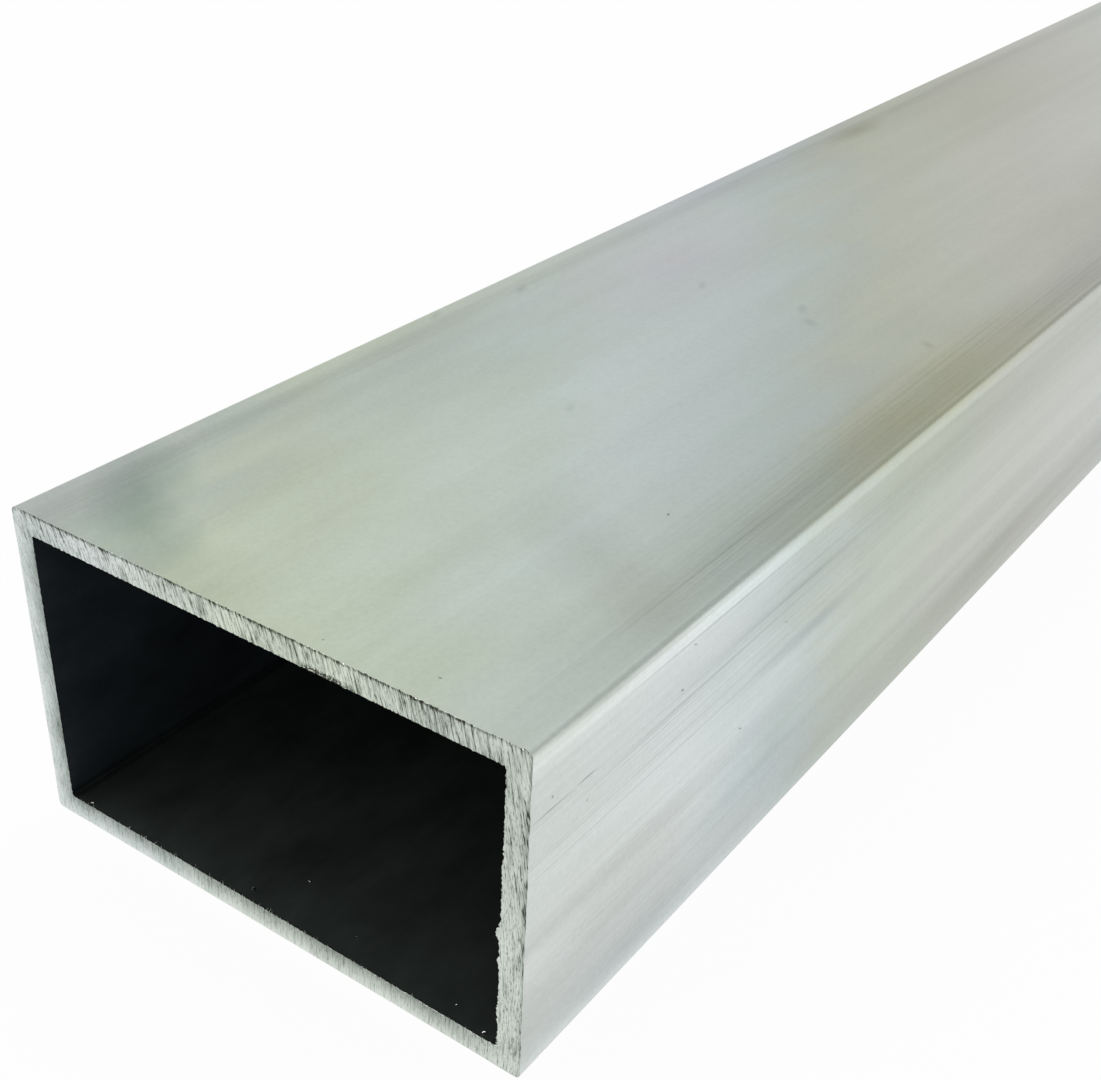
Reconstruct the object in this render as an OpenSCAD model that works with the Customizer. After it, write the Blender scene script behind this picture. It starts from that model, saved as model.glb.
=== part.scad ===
// Rectangular aluminium tube: one length of extruded hollow section, sawn square at both ends.
// Millimetres. X runs along the length, Y across the width and Z up. The tube lies on a wide face,
// with the origin at the middle of that face.

/* [Section] */
// Outside width, across the face that the tube lies on
tube_width = 50; // [25:1:120]
// Outside height
tube_height = 30; // [20:1:100]
// Thickness of the four walls
wall = 2; // [1:0.1:5]
// Radius of the outside corners, as the die leaves them
outer_corner_radius = 0.5; // [0.2:0.1:4]
// Radius of the inside corners
inner_corner_radius = 0.3; // [0.2:0.1:4]

/* [Length] */
// Length between the two sawn ends
tube_length = 1000; // [100:10:6000]

/* [Hidden] */
// Clear width and height of the bore
bore_width = tube_width - 2 * wall;
bore_height = tube_height - 2 * wall;
// Bare mill-finish metal
mill_finish = "#b6beb6";
// Facets of a full circle at a corner
corner_facets = 64;

// Rectangle centred on the origin, with four quarter-round corners
module rounded_rectangle(width, height, radius) {
    flat_width = width - 2 * radius;
    flat_height = height - 2 * radius;
    square([width, flat_height], center = true);
    square([flat_width, height], center = true);
    for (across = [-1, 1], up = [-1, 1])
        translate([across * flat_width / 2, up * flat_height / 2])
            circle(r = radius, $fn = corner_facets);
}

// Extrusion's section, seen along the tube: the outside outline with the bore taken out
module tube_section() {
    difference() {
        rounded_rectangle(tube_width, tube_height, outer_corner_radius);
        rounded_rectangle(bore_width, bore_height, inner_corner_radius);
    }
}

// The whole tube: its section drawn out along X, standing on the wide face
module tube() {
    color(mill_finish)
        translate([-tube_length / 2, 0, tube_height / 2])
            rotate([90, 0, 90])
                linear_extrude(height = tube_length)
                    tube_section();
}

tube();
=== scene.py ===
import math

import bpy
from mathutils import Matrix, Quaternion, Vector


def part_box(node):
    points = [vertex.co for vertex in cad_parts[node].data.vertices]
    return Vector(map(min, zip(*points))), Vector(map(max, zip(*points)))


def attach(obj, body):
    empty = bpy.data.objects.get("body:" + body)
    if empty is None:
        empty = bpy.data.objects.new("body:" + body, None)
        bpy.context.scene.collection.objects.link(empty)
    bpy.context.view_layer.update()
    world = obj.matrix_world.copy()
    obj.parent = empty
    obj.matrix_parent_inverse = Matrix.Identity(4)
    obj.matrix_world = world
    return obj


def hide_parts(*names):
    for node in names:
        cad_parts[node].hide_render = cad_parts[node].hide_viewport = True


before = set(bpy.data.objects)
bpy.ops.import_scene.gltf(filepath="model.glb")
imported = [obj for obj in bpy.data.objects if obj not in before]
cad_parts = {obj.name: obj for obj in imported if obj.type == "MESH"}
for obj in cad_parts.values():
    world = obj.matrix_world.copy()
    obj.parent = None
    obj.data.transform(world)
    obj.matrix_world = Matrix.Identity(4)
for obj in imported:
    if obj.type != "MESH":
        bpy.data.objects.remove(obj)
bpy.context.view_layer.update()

# Lengths are metres, written as millimetres times MM. The tube lies along X on the floor,
# and the end that the camera sees is at low X.
MM = 0.001
tube_low, tube_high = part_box("tube")
LENGTH, WIDTH, HEIGHT = tube_high - tube_low
NEAR_END = Vector((tube_low.x, 0, 0))

# Section, as in the frame
WALL = 2 * MM
OUTER_RADIUS = 0.5 * MM
INNER_RADIUS = 0.3 * MM

# Cells of the tube's skin: round the section, along each skin and across each sawn wall
CELLS_ROUND = 2000
CELLS_ALONG = 10
CELLS_ACROSS = 14
STATIONS = 2 * (CELLS_ALONG + CELLS_ACROSS)

# Saw marks are arcs about the axle of the blade, which stood to the left of the cut. SAW_REACH turns an
# angle into a length of arc. The pattern also changes over SAW_SHIFT along the tube, so the two ends differ.
SAW_AXLE = Vector((0, 85, 4)) * MM
SAW_REACH = 100 * MM
SAW_SPACING = 0.28 * MM
SAW_STROKE = 2.6 * MM
SAW_SHIFT = 25 * MM
# Where the cut is torn: towards its top right, and worst on one stretch of the top wall
TORN_TOWARDS = (0, -1 / WIDTH, 1 / HEIGHT)
TORN_MIDDLE = -7.4 * MM
TORN_REACH = 3 * MM
# The burr's lip on the right wall: heights in mm above the underside, and the share of its reach at each
LIP = (
    (3, 0.25), (4.2, 0.15), (5.4, 0.5), (6.6, 0.3), (8, 0.15), (9.8, 0.25),
    (10.6, 0.55), (11.4, 0.25), (12.5, 0.4), (13, 0.9), (13.4, 1), (13.8, 0.55),
    (14.4, 0.15), (18.8, 0.2), (19.4, 0.35), (19.8, 0.05), (27, 0))

# Width of the band of painted reflection and shade along each corner
EDGE_BAND = 16 * MM

# Tints of the wide and the narrow faces, whose change of hue along the tube is a painted reflection of the
# room, in mm along from the near end, and how far they slant along for each step across
TINT_SLANT = 1.75
TINT_START = -40
TINT_END = 1060
WIDE_TINTS_AND_REFLECTIONS = (
    (-40, "#ced5d0"), (-24, "#cad5ca"), (-8, "#d2dcc7"), (20, "#d3ded1"), (50, "#d1dbd9"), (66, "#cad4d3"),
    (78, "#c3ceca"), (92, "#c2c7bc"), (105, "#c5c9ba"), (130, "#c9cbc0"), (165, "#cecec7"), (300, "#ccd6d2"),
    (450, "#d2dccd"), (620, "#c9cdc2"), (800, "#cfdad8"), (1060, "#d0d3ca"))
NARROW_TINTS_AND_REFLECTIONS = (
    (47, "#dde3df"), (62, "#dfe6e5"), (74, "#d6e0e0"), (84, "#cad5d1"), (94, "#c4ccbe"), (104, "#c5cdbf"),
    (119, "#c5cabf"), (144, "#cacdc6"), (300, "#cfdada"), (500, "#d9ded6"), (750, "#ccd2cc"),
    (1060, "#d6dcd9"))

# Camera: where it stands from the middle of the near end's lower edge, and how it looks. The last three are
# in pixels of the photograph.
CAMERA_FROM_NEAR_END = Vector((-64.74, -69.55, 91.74)) * MM
CAMERA_HEADING = math.radians(55.93)
CAMERA_DIP = math.radians(32.60)
CAMERA_ROLL = math.radians(2.66)
PHOTO_WIDTH = 1101
FOCAL_LENGTH = 1590.4
AXIS_BELOW_MIDDLE = 60


def linear(hex_colour):
    """Turns an sRGB hex colour into the linear colour that shaders take."""
    shares = [int(hex_colour[i:i + 2], 16) / 255 for i in (1, 3, 5)]
    return [s / 12.92 if s <= 0.04045 else ((s + 0.055) / 1.055) ** 2.4 for s in shares] + [1]


def add(tree, kind, inputs=None, stops=(), **settings):
    """Adds a node with its settings, a ramp's stops, and a value or a link for each input named."""
    node = tree.nodes.new(kind)
    for name, value in settings.items():
        setattr(node, name, value)
    for spare in stops[2:]:
        node.color_ramp.elements.new(1)
    for number, (position, colour) in enumerate(stops):
        node.color_ramp.elements[number].position = position
        node.color_ramp.elements[number].color = colour
    for name, value in (inputs or {}).items():
        if isinstance(value, bpy.types.Node):
            value = next(out for out in value.outputs if not out.is_unavailable)
        if isinstance(value, bpy.types.NodeSocket):
            tree.links.new(value, node.inputs[name])
        else:
            node.inputs[name].default_value = value
    return node


def grey(level):
    """A linear grey, for a ramp that shades a colour."""
    return (level, level, level, 1)


def grey_stops(levels, whole=1):
    """Stops of a ramp of greys: each level, at its share of the whole."""
    return [(at / whole, grey(level)) for at, level in levels]


def new_material(name):
    """A material with an empty node tree."""
    material = bpy.data.materials.new(name)
    material.use_nodes = True
    material.node_tree.nodes.clear()
    return material, material.node_tree


def shape_tree(name, sizes):
    """Starts a Geometry Nodes tree that has a named input for each size."""
    tree = bpy.data.node_groups.new(name, "GeometryNodeTree")
    tree.interface.new_socket("Geometry", in_out="OUTPUT", socket_type="NodeSocketGeometry")
    tree.interface.new_socket("Points", in_out="INPUT", socket_type="NodeSocketGeometry")
    for size in sizes:
        tree.interface.new_socket(size, in_out="INPUT", socket_type="NodeSocketFloat")
    return tree, add(tree, "NodeGroupInput").outputs


def made_piece(name, tree, sizes, points=()):
    """Runs a tree on these points and sizes and keeps the result as a plain mesh that rides with the tube."""
    start = bpy.data.meshes.new(name + "_start")
    start.from_pydata(points, [], [])
    piece = bpy.data.objects.new(name, start)
    bpy.context.scene.collection.objects.link(piece)
    modifier = piece.modifiers.new("shape", "NODES")
    modifier.node_group = tree
    for socket in tree.interface.items_tree:
        if socket.in_out == "INPUT" and socket.name in sizes:
            modifier[socket.identifier] = sizes[socket.name]
    depsgraph = bpy.context.evaluated_depsgraph_get()
    mesh = bpy.data.meshes.new_from_object(piece.evaluated_get(depsgraph), depsgraph=depsgraph)
    piece.modifiers.clear()
    piece.data = mesh
    mesh.name = name
    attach(piece, "root")
    return piece


def rounded_outline(tree, path, half, radius):
    """Draws a path round a rectangle in to round corners; gives its points and their outward directions."""
    corner = add(tree, "ShaderNodeCombineXYZ", {"Y": radius, "Z": radius})
    flat = add(tree, "ShaderNodeVectorMath", {0: half, 1: corner}, operation="SUBTRACT")
    low = add(tree, "ShaderNodeVectorMath", {0: flat, "Scale": -1}, operation="SCALE")
    capped = add(tree, "ShaderNodeVectorMath", {0: path, 1: flat}, operation="MINIMUM")
    core = add(tree, "ShaderNodeVectorMath", {0: capped, 1: low}, operation="MAXIMUM")
    proud = add(tree, "ShaderNodeVectorMath", {0: path, 1: core}, operation="SUBTRACT")
    outward = add(tree, "ShaderNodeVectorMath", {0: proud}, operation="NORMALIZE")
    points = add(tree, "ShaderNodeVectorMath", {0: outward, 1: radius, 2: core}, operation="MULTIPLY_ADD")
    return points, outward


def along_saw_marks(tree, place):
    """Lays a place out by the saw: which end, how far from the axle, and how far along its sweep."""
    from_axle = add(tree, "ShaderNodeVectorMath", {0: place, 1: SAW_AXLE}, operation="SUBTRACT")
    parts = add(tree, "ShaderNodeSeparateXYZ", {0: from_axle}).outputs
    level = add(tree, "ShaderNodeMath", {0: parts["Y"], 1: -1}, operation="MULTIPLY")
    turn = add(tree, "ShaderNodeMath", {0: parts["Z"], 1: level}, operation="ARCTAN2")
    sweep = add(tree, "ShaderNodeMath", {0: turn, 1: SAW_REACH}, operation="MULTIPLY")
    upright = add(tree, "ShaderNodeVectorMath", {0: from_axle, 1: (0, 1, 1)}, operation="MULTIPLY")
    radius = add(tree, "ShaderNodeVectorMath", {0: upright}, operation="LENGTH")
    return add(tree, "ShaderNodeCombineXYZ", {"X": parts["X"], "Y": radius, "Z": sweep})


def torn_share(tree, place):
    """How roughly the saw tore: 1 towards the top right of the cut, 0 along its left and bottom."""
    middle = (0, 0, HEIGHT / 2)
    from_middle = add(tree, "ShaderNodeVectorMath", {0: place, 1: middle}, operation="SUBTRACT")
    towards = add(tree, "ShaderNodeVectorMath", {0: from_middle, 1: TORN_TOWARDS}, operation="DOT_PRODUCT")
    return add(tree, "ShaderNodeMapRange", {"Value": towards, "From Min": -0.15, "From Max": 0.6})


TUBE_SIZES = {
    "Length": LENGTH,
    "Width": WIDTH,
    "Height": HEIGHT,
    "Wall": WALL,
    "Outer Radius": OUTER_RADIUS,
    "Inner Radius": INNER_RADIUS,
    "Face Hollow": 0.04 * MM,
    "Die Line Spacing": 0.45 * MM,
    "Die Line Depth": 0.001 * MM,
    "Saw Mark Depth": 0.07 * MM,
    "Edge Break": 0.08 * MM,
    "Burr Reach": 0.5 * MM,
    "Burr Grain": 0.5 * MM,
}


def tube_tree(skin, cut, bore):
    """One closed sheet of cells: along the outside, across one sawn end, back through the bore and out."""
    tree, size = shape_tree("tube drawn round its section", TUBE_SIZES)
    grid = add(tree, "GeometryNodeMeshGrid", {
        "Size X": 1, "Size Y": 1, "Vertices X": CELLS_ROUND + 1, "Vertices Y": STATIONS + 1})
    place = add(tree, "ShaderNodeSeparateXYZ", {0: add(tree, "GeometryNodeInputPosition")})

    # How far along the tube, from 1 to -1 and back, and how deep in the wall, from 0 to 1 and back
    station = add(tree, "ShaderNodeMapRange", {
        "Value": place.outputs["Y"], "From Min": -0.5, "From Max": 0.5, "To Min": 0, "To Max": STATIONS})
    first_cut = CELLS_ALONG
    bore_start = CELLS_ALONG + CELLS_ACROSS
    second_cut = bore_start + CELLS_ALONG
    outbound = add(tree, "ShaderNodeMapRange", {
        "Value": station, "From Min": 0, "From Max": first_cut, "To Min": 1, "To Max": -1})
    inbound = add(tree, "ShaderNodeMapRange", {
        "Value": station, "From Min": bore_start, "From Max": second_cut, "To Min": 0, "To Max": 2})
    along = add(tree, "ShaderNodeMath", {0: outbound, 1: inbound}, operation="ADD")
    inwards = add(tree, "ShaderNodeMapRange", {
        "Value": station, "From Min": first_cut, "From Max": bore_start, "To Min": 0, "To Max": 1})
    outwards = add(tree, "ShaderNodeMapRange", {
        "Value": station, "From Min": second_cut, "From Max": STATIONS, "To Min": 0, "To Max": -1})
    depth = add(tree, "ShaderNodeMath", {0: inwards, 1: outwards}, operation="ADD")

    # A walk round the rectangle at an even pace, as two clipped triangle waves
    half_round = add(tree, "ShaderNodeMath", {0: size["Width"], 1: size["Height"]}, operation="ADD")
    whole_round = add(tree, "ShaderNodeMath", {0: half_round, 1: 2}, operation="MULTIPLY")
    quarter_round = add(tree, "ShaderNodeMath", {0: half_round, 1: 0.5}, operation="MULTIPLY")
    walk = add(tree, "ShaderNodeMapRange", {
        "Value": place.outputs["X"], "From Min": -0.5, "From Max": 0.5, "To Min": 0, "To Max": whole_round})
    late_walk = add(tree, "ShaderNodeMath", {0: half_round, 1: 1.5, 2: walk}, operation="MULTIPLY_ADD")
    both_walks = add(tree, "ShaderNodeCombineXYZ", {"Y": walk, "Z": late_walk})
    lap = add(tree, "ShaderNodeVectorMath", {0: both_walks, 1: whole_round}, operation="MODULO")
    from_turn = add(tree, "ShaderNodeVectorMath", {0: lap, 1: half_round}, operation="SUBTRACT")
    from_turn = add(tree, "ShaderNodeVectorMath", {0: from_turn}, operation="ABSOLUTE")
    wave = add(tree, "ShaderNodeVectorMath", {0: from_turn, 1: quarter_round}, operation="SUBTRACT")
    whole = add(tree, "ShaderNodeCombineXYZ", {"Y": size["Width"], "Z": size["Height"]})
    half = add(tree, "ShaderNodeVectorMath", {0: whole, "Scale": 0.5}, operation="SCALE")
    low_half = add(tree, "ShaderNodeVectorMath", {0: whole, "Scale": -0.5}, operation="SCALE")
    wave = add(tree, "ShaderNodeVectorMath", {0: wave, 1: half}, operation="MINIMUM")
    path = add(tree, "ShaderNodeVectorMath", {0: wave, 1: low_half}, operation="MAXIMUM")

    # Outside and bore outlines, with the same share of each side at each cell
    outside, outside_facing = rounded_outline(tree, path, half, size["Outer Radius"])
    walls = add(tree, "ShaderNodeCombineXYZ", {"Y": size["Wall"], "Z": size["Wall"]})
    bore_half = add(tree, "ShaderNodeVectorMath", {0: half, 1: walls}, operation="SUBTRACT")
    bore_share = add(tree, "ShaderNodeVectorMath", {0: bore_half, 1: half}, operation="DIVIDE")
    bore_path = add(tree, "ShaderNodeVectorMath", {0: path, 1: bore_share}, operation="MULTIPLY")
    inside, inside_facing = rounded_outline(tree, bore_path, bore_half, size["Inner Radius"])

    # Each face lies a little hollow between the walls behind its edges, and carries fine die lines
    spread = add(tree, "ShaderNodeVectorMath", {0: path}, operation="ABSOLUTE")
    short_of = add(tree, "ShaderNodeVectorMath", {0: half, 1: spread}, operation="SUBTRACT")
    short_of = add(tree, "ShaderNodeSeparateXYZ", {0: short_of})
    from_corner = add(tree, "ShaderNodeMath", {
        0: short_of.outputs["Y"], 1: short_of.outputs["Z"]}, operation="MAXIMUM")
    hollow_end = add(tree, "ShaderNodeMath", {0: size["Wall"], 1: 2}, operation="MULTIPLY")
    hollow = add(tree, "ShaderNodeMapRange", {
        "Value": from_corner, "From Min": size["Wall"], "From Max": hollow_end,
        "To Min": 0, "To Max": size["Face Hollow"]}, interpolation_type="SMOOTHSTEP")
    die_place = add(tree, "ShaderNodeVectorMath", {0: path, 1: size["Die Line Spacing"]}, operation="DIVIDE")
    die_noise = add(tree, "ShaderNodeTexNoise", {"Vector": die_place, "Scale": 1, "Detail": 2})
    die_line = add(tree, "ShaderNodeMath", {
        0: die_noise, 1: size["Die Line Depth"], 2: hollow}, operation="MULTIPLY_ADD")
    sunk = add(tree, "ShaderNodeVectorMath", {0: outside_facing, "Scale": die_line}, operation="SCALE")
    outside = add(tree, "ShaderNodeVectorMath", {0: outside, 1: sunk}, operation="SUBTRACT")
    outline = add(tree, "ShaderNodeMix", {"Factor": depth, 4: outside, 5: inside}, data_type="VECTOR")

    # Stations crowd towards the ends
    end_side = add(tree, "ShaderNodeMath", {0: along}, operation="SIGN")
    how_far = add(tree, "ShaderNodeMath", {0: along}, operation="ABSOLUTE")
    to_end = add(tree, "ShaderNodeMath", {0: 1, 1: how_far}, operation="SUBTRACT")
    crowded = add(tree, "ShaderNodeMath", {0: to_end, 1: 5}, operation="POWER")
    how_far_out = add(tree, "ShaderNodeMath", {0: 1, 1: crowded}, operation="SUBTRACT")
    on_cut = add(tree, "ShaderNodeMath", {0: how_far, 1: 1, 2: 0.001}, operation="COMPARE")

    # Saw marks: scores along the saw's sweep, deepest at the top right, laid out from where the cut lies
    half_length = add(tree, "ShaderNodeMath", {0: size["Length"], 1: 0.5}, operation="MULTIPLY")
    lift = add(tree, "ShaderNodeMath", {0: size["Height"], 1: 0.5}, operation="MULTIPLY")
    which_end = add(tree, "ShaderNodeMath", {0: end_side, 1: half_length}, operation="MULTIPLY")
    which_end = add(tree, "ShaderNodeCombineXYZ", {"X": which_end, "Z": lift})
    cut_place = add(tree, "ShaderNodeVectorMath", {0: outline, 1: which_end}, operation="ADD")
    stroke_place = along_saw_marks(tree, cut_place)
    saw_place = add(tree, "ShaderNodeVectorMath", {
        0: stroke_place, 1: (1 / SAW_SHIFT, 1 / SAW_SPACING, 1 / SAW_STROKE)}, operation="MULTIPLY")
    saw_noise = add(tree, "ShaderNodeTexNoise", {
        "Vector": saw_place, "Scale": 1, "Detail": 3, "Roughness": 0.6})
    score = add(tree, "ShaderNodeMapRange", {"Value": saw_noise, "From Min": 0.42, "From Max": 0.75})
    torn = torn_share(tree, cut_place)
    coarseness = add(tree, "ShaderNodeMapRange", {"Value": torn, "To Min": 0.3, "To Max": 1})
    score = add(tree, "ShaderNodeMath", {0: score, 1: coarseness}, operation="MULTIPLY")
    scored = add(tree, "ShaderNodeMath", {0: score, 1: size["Saw Mark Depth"]}, operation="MULTIPLY")

    # The outer edge of the cut is nicked
    nick_place = add(tree, "ShaderNodeVectorMath", {
        0: stroke_place, 1: (1 / SAW_SHIFT, 1 / (0.45 * MM), 1 / (2 * MM))}, operation="MULTIPLY")
    nick_noise = add(tree, "ShaderNodeTexNoise", {"Vector": nick_place, "Scale": 1, "Detail": 2})
    nicks = add(tree, "ShaderNodeMapRange", {
        "Value": nick_noise, "From Min": 0.48, "From Max": 0.68, "To Min": 0, "To Max": torn})
    at_outer_edge = add(tree, "ShaderNodeMath", {0: depth, 1: 0, 2: 0.001}, operation="COMPARE")
    nicks = add(tree, "ShaderNodeMath", {0: nicks, 1: at_outer_edge}, operation="MULTIPLY")
    cut_back = add(tree, "ShaderNodeMath", {
        0: nicks, 1: size["Edge Break"], 2: scored}, operation="MULTIPLY_ADD")
    cut_back = add(tree, "ShaderNodeMath", {0: cut_back, 1: on_cut}, operation="MULTIPLY")

    # A lip of burr leans into the bore from the right wall, upside down at the far end. The other walls are
    # only ragged.
    on_face = add(tree, "ShaderNodeSeparateXYZ", {0: outline}).outputs
    rag_walk = add(tree, "ShaderNodeMath", {0: walk, 1: size["Burr Grain"]}, operation="DIVIDE")
    rag_walk = add(tree, "ShaderNodeMath", {0: end_side, 1: 1.4, 2: rag_walk}, operation="MULTIPLY_ADD")
    rag_noise = add(tree, "ShaderNodeTexNoise", {
        "W": rag_walk, "Scale": 1, "Detail": 4, "Roughness": 0.7}, noise_dimensions="1D")
    lip_height = add(tree, "ShaderNodeMath", {0: on_face["Z"], 1: end_side}, operation="MULTIPLY")
    low_lift = add(tree, "ShaderNodeMath", {0: lift, 1: -1}, operation="MULTIPLY")
    lip_height = add(tree, "ShaderNodeMapRange", {
        "Value": lip_height, "From Min": lift, "From Max": low_lift})
    lip = add(tree, "ShaderNodeValToRGB", {"Fac": lip_height}, stops=grey_stops(LIP, HEIGHT / MM))
    ragged_lip = add(tree, "ShaderNodeMapRange", {
        "Value": rag_noise, "From Min": 0.3, "From Max": 0.7, "To Min": -0.1, "To Max": 0.25})
    ragged_lip = add(tree, "ShaderNodeMath", {0: ragged_lip, 1: lip}, operation="ADD")
    ragged = add(tree, "ShaderNodeMapRange", {
        "Value": rag_noise, "From Min": 0.45, "From Max": 0.75, "To Min": 0, "To Max": 0.2})
    low_width = add(tree, "ShaderNodeMath", {0: size["Width"], 1: -0.5}, operation="MULTIPLY")
    right_wall = add(tree, "ShaderNodeMath", {
        0: size["Wall"], 1: 1.05, 2: low_width}, operation="MULTIPLY_ADD")
    past_right_wall = add(tree, "ShaderNodeMath", {
        0: size["Wall"], 1: 1.5, 2: low_width}, operation="MULTIPLY_ADD")
    burr = add(tree, "ShaderNodeMapRange", {
        "Value": on_face["Y"], "From Min": right_wall, "From Max": past_right_wall,
        "To Min": ragged_lip, "To Max": ragged})
    at_inner_edge = add(tree, "ShaderNodeMapRange", {
        "Value": depth, "From Min": 0.72, "From Max": 1, "To Min": 0, "To Max": on_cut})
    burr = add(tree, "ShaderNodeMath", {0: burr, 1: at_inner_edge}, operation="MULTIPLY")
    burr = add(tree, "ShaderNodeMath", {0: burr, 1: size["Burr Reach"]}, operation="MULTIPLY")
    lean_in = add(tree, "ShaderNodeVectorMath", {0: inside_facing, "Scale": burr}, operation="SCALE")
    outline = add(tree, "ShaderNodeVectorMath", {0: outline, 1: lean_in}, operation="SUBTRACT")

    # Place along the tube, then close the sheet, turn its faces outward, sharpen its edges and give each
    # skin its finish
    reach = add(tree, "ShaderNodeMath", {0: how_far_out, 1: half_length}, operation="MULTIPLY")
    reach = add(tree, "ShaderNodeMath", {0: reach, 1: cut_back}, operation="SUBTRACT")
    reach = add(tree, "ShaderNodeMath", {0: reach, 1: end_side}, operation="MULTIPLY")
    drawn_out = add(tree, "ShaderNodeCombineXYZ", {"X": reach, "Z": lift})
    position = add(tree, "ShaderNodeVectorMath", {0: outline, 1: drawn_out}, operation="ADD")
    sheet = add(tree, "GeometryNodeStoreNamedAttribute", {
        "Geometry": grid, "Name": "wall_depth", "Value": depth}, data_type="FLOAT", domain="POINT")
    sheet = add(tree, "GeometryNodeSetPosition", {"Geometry": sheet, "Position": position})
    sheet = add(tree, "GeometryNodeMergeByDistance", {"Geometry": sheet, "Distance": 0.01 * MM})
    sheet = add(tree, "GeometryNodeFlipFaces", {"Mesh": sheet})
    edge_angle = add(tree, "GeometryNodeInputMeshEdgeAngle")
    gentle = add(tree, "ShaderNodeMath", {0: edge_angle, 1: math.radians(40)}, operation="LESS_THAN")
    sheet = add(tree, "GeometryNodeSetShadeSmooth", {
        "Geometry": sheet, "Shade Smooth": gentle}, domain="EDGE")
    wall_depth = add(tree, "GeometryNodeInputNamedAttribute", {"Name": "wall_depth"}, data_type="FLOAT")
    off_skin = add(tree, "ShaderNodeMath", {0: wall_depth, 1: 0.001}, operation="GREATER_THAN")
    in_bore = add(tree, "ShaderNodeMath", {0: wall_depth, 1: 0.999}, operation="GREATER_THAN")
    sheet = add(tree, "GeometryNodeRealizeInstances", {"Geometry": sheet})
    sheet = add(tree, "GeometryNodeSetMaterial", {"Geometry": sheet, "Material": skin})
    sheet = add(tree, "GeometryNodeSetMaterial", {"Geometry": sheet, "Selection": off_skin, "Material": cut})
    sheet = add(tree, "GeometryNodeSetMaterial", {"Geometry": sheet, "Selection": in_bore, "Material": bore})
    add(tree, "NodeGroupOutput", {"Geometry": sheet})
    return tree


OUTER_SLIVERS = {
    "Length": LENGTH,
    "Width": WIDTH,
    "Height": HEIGHT,
    "Lift": HEIGHT / 2,
    "Radius": OUTER_RADIUS,
    "Spacing": 0.3 * MM,
    "Reach": 0.35 * MM,
    "Girth": 0.1 * MM,
    "Outward": 0.5,
    "Along Edge": 1,
    "Share Below": 0,
    "Share Above": 0.4,
}
INNER_SLIVERS = dict(OUTER_SLIVERS)
INNER_SLIVERS.update({
    "Width": WIDTH - 2 * WALL,
    "Height": HEIGHT - 2 * WALL,
    "Radius": INNER_RADIUS,
    "Reach": 0.45 * MM,
    "Girth": 0.08 * MM,
    "Outward": -1,
    "Along Edge": 0.4,
    "Share Below": 0.6,
    "Share Above": 0,
})


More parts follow.
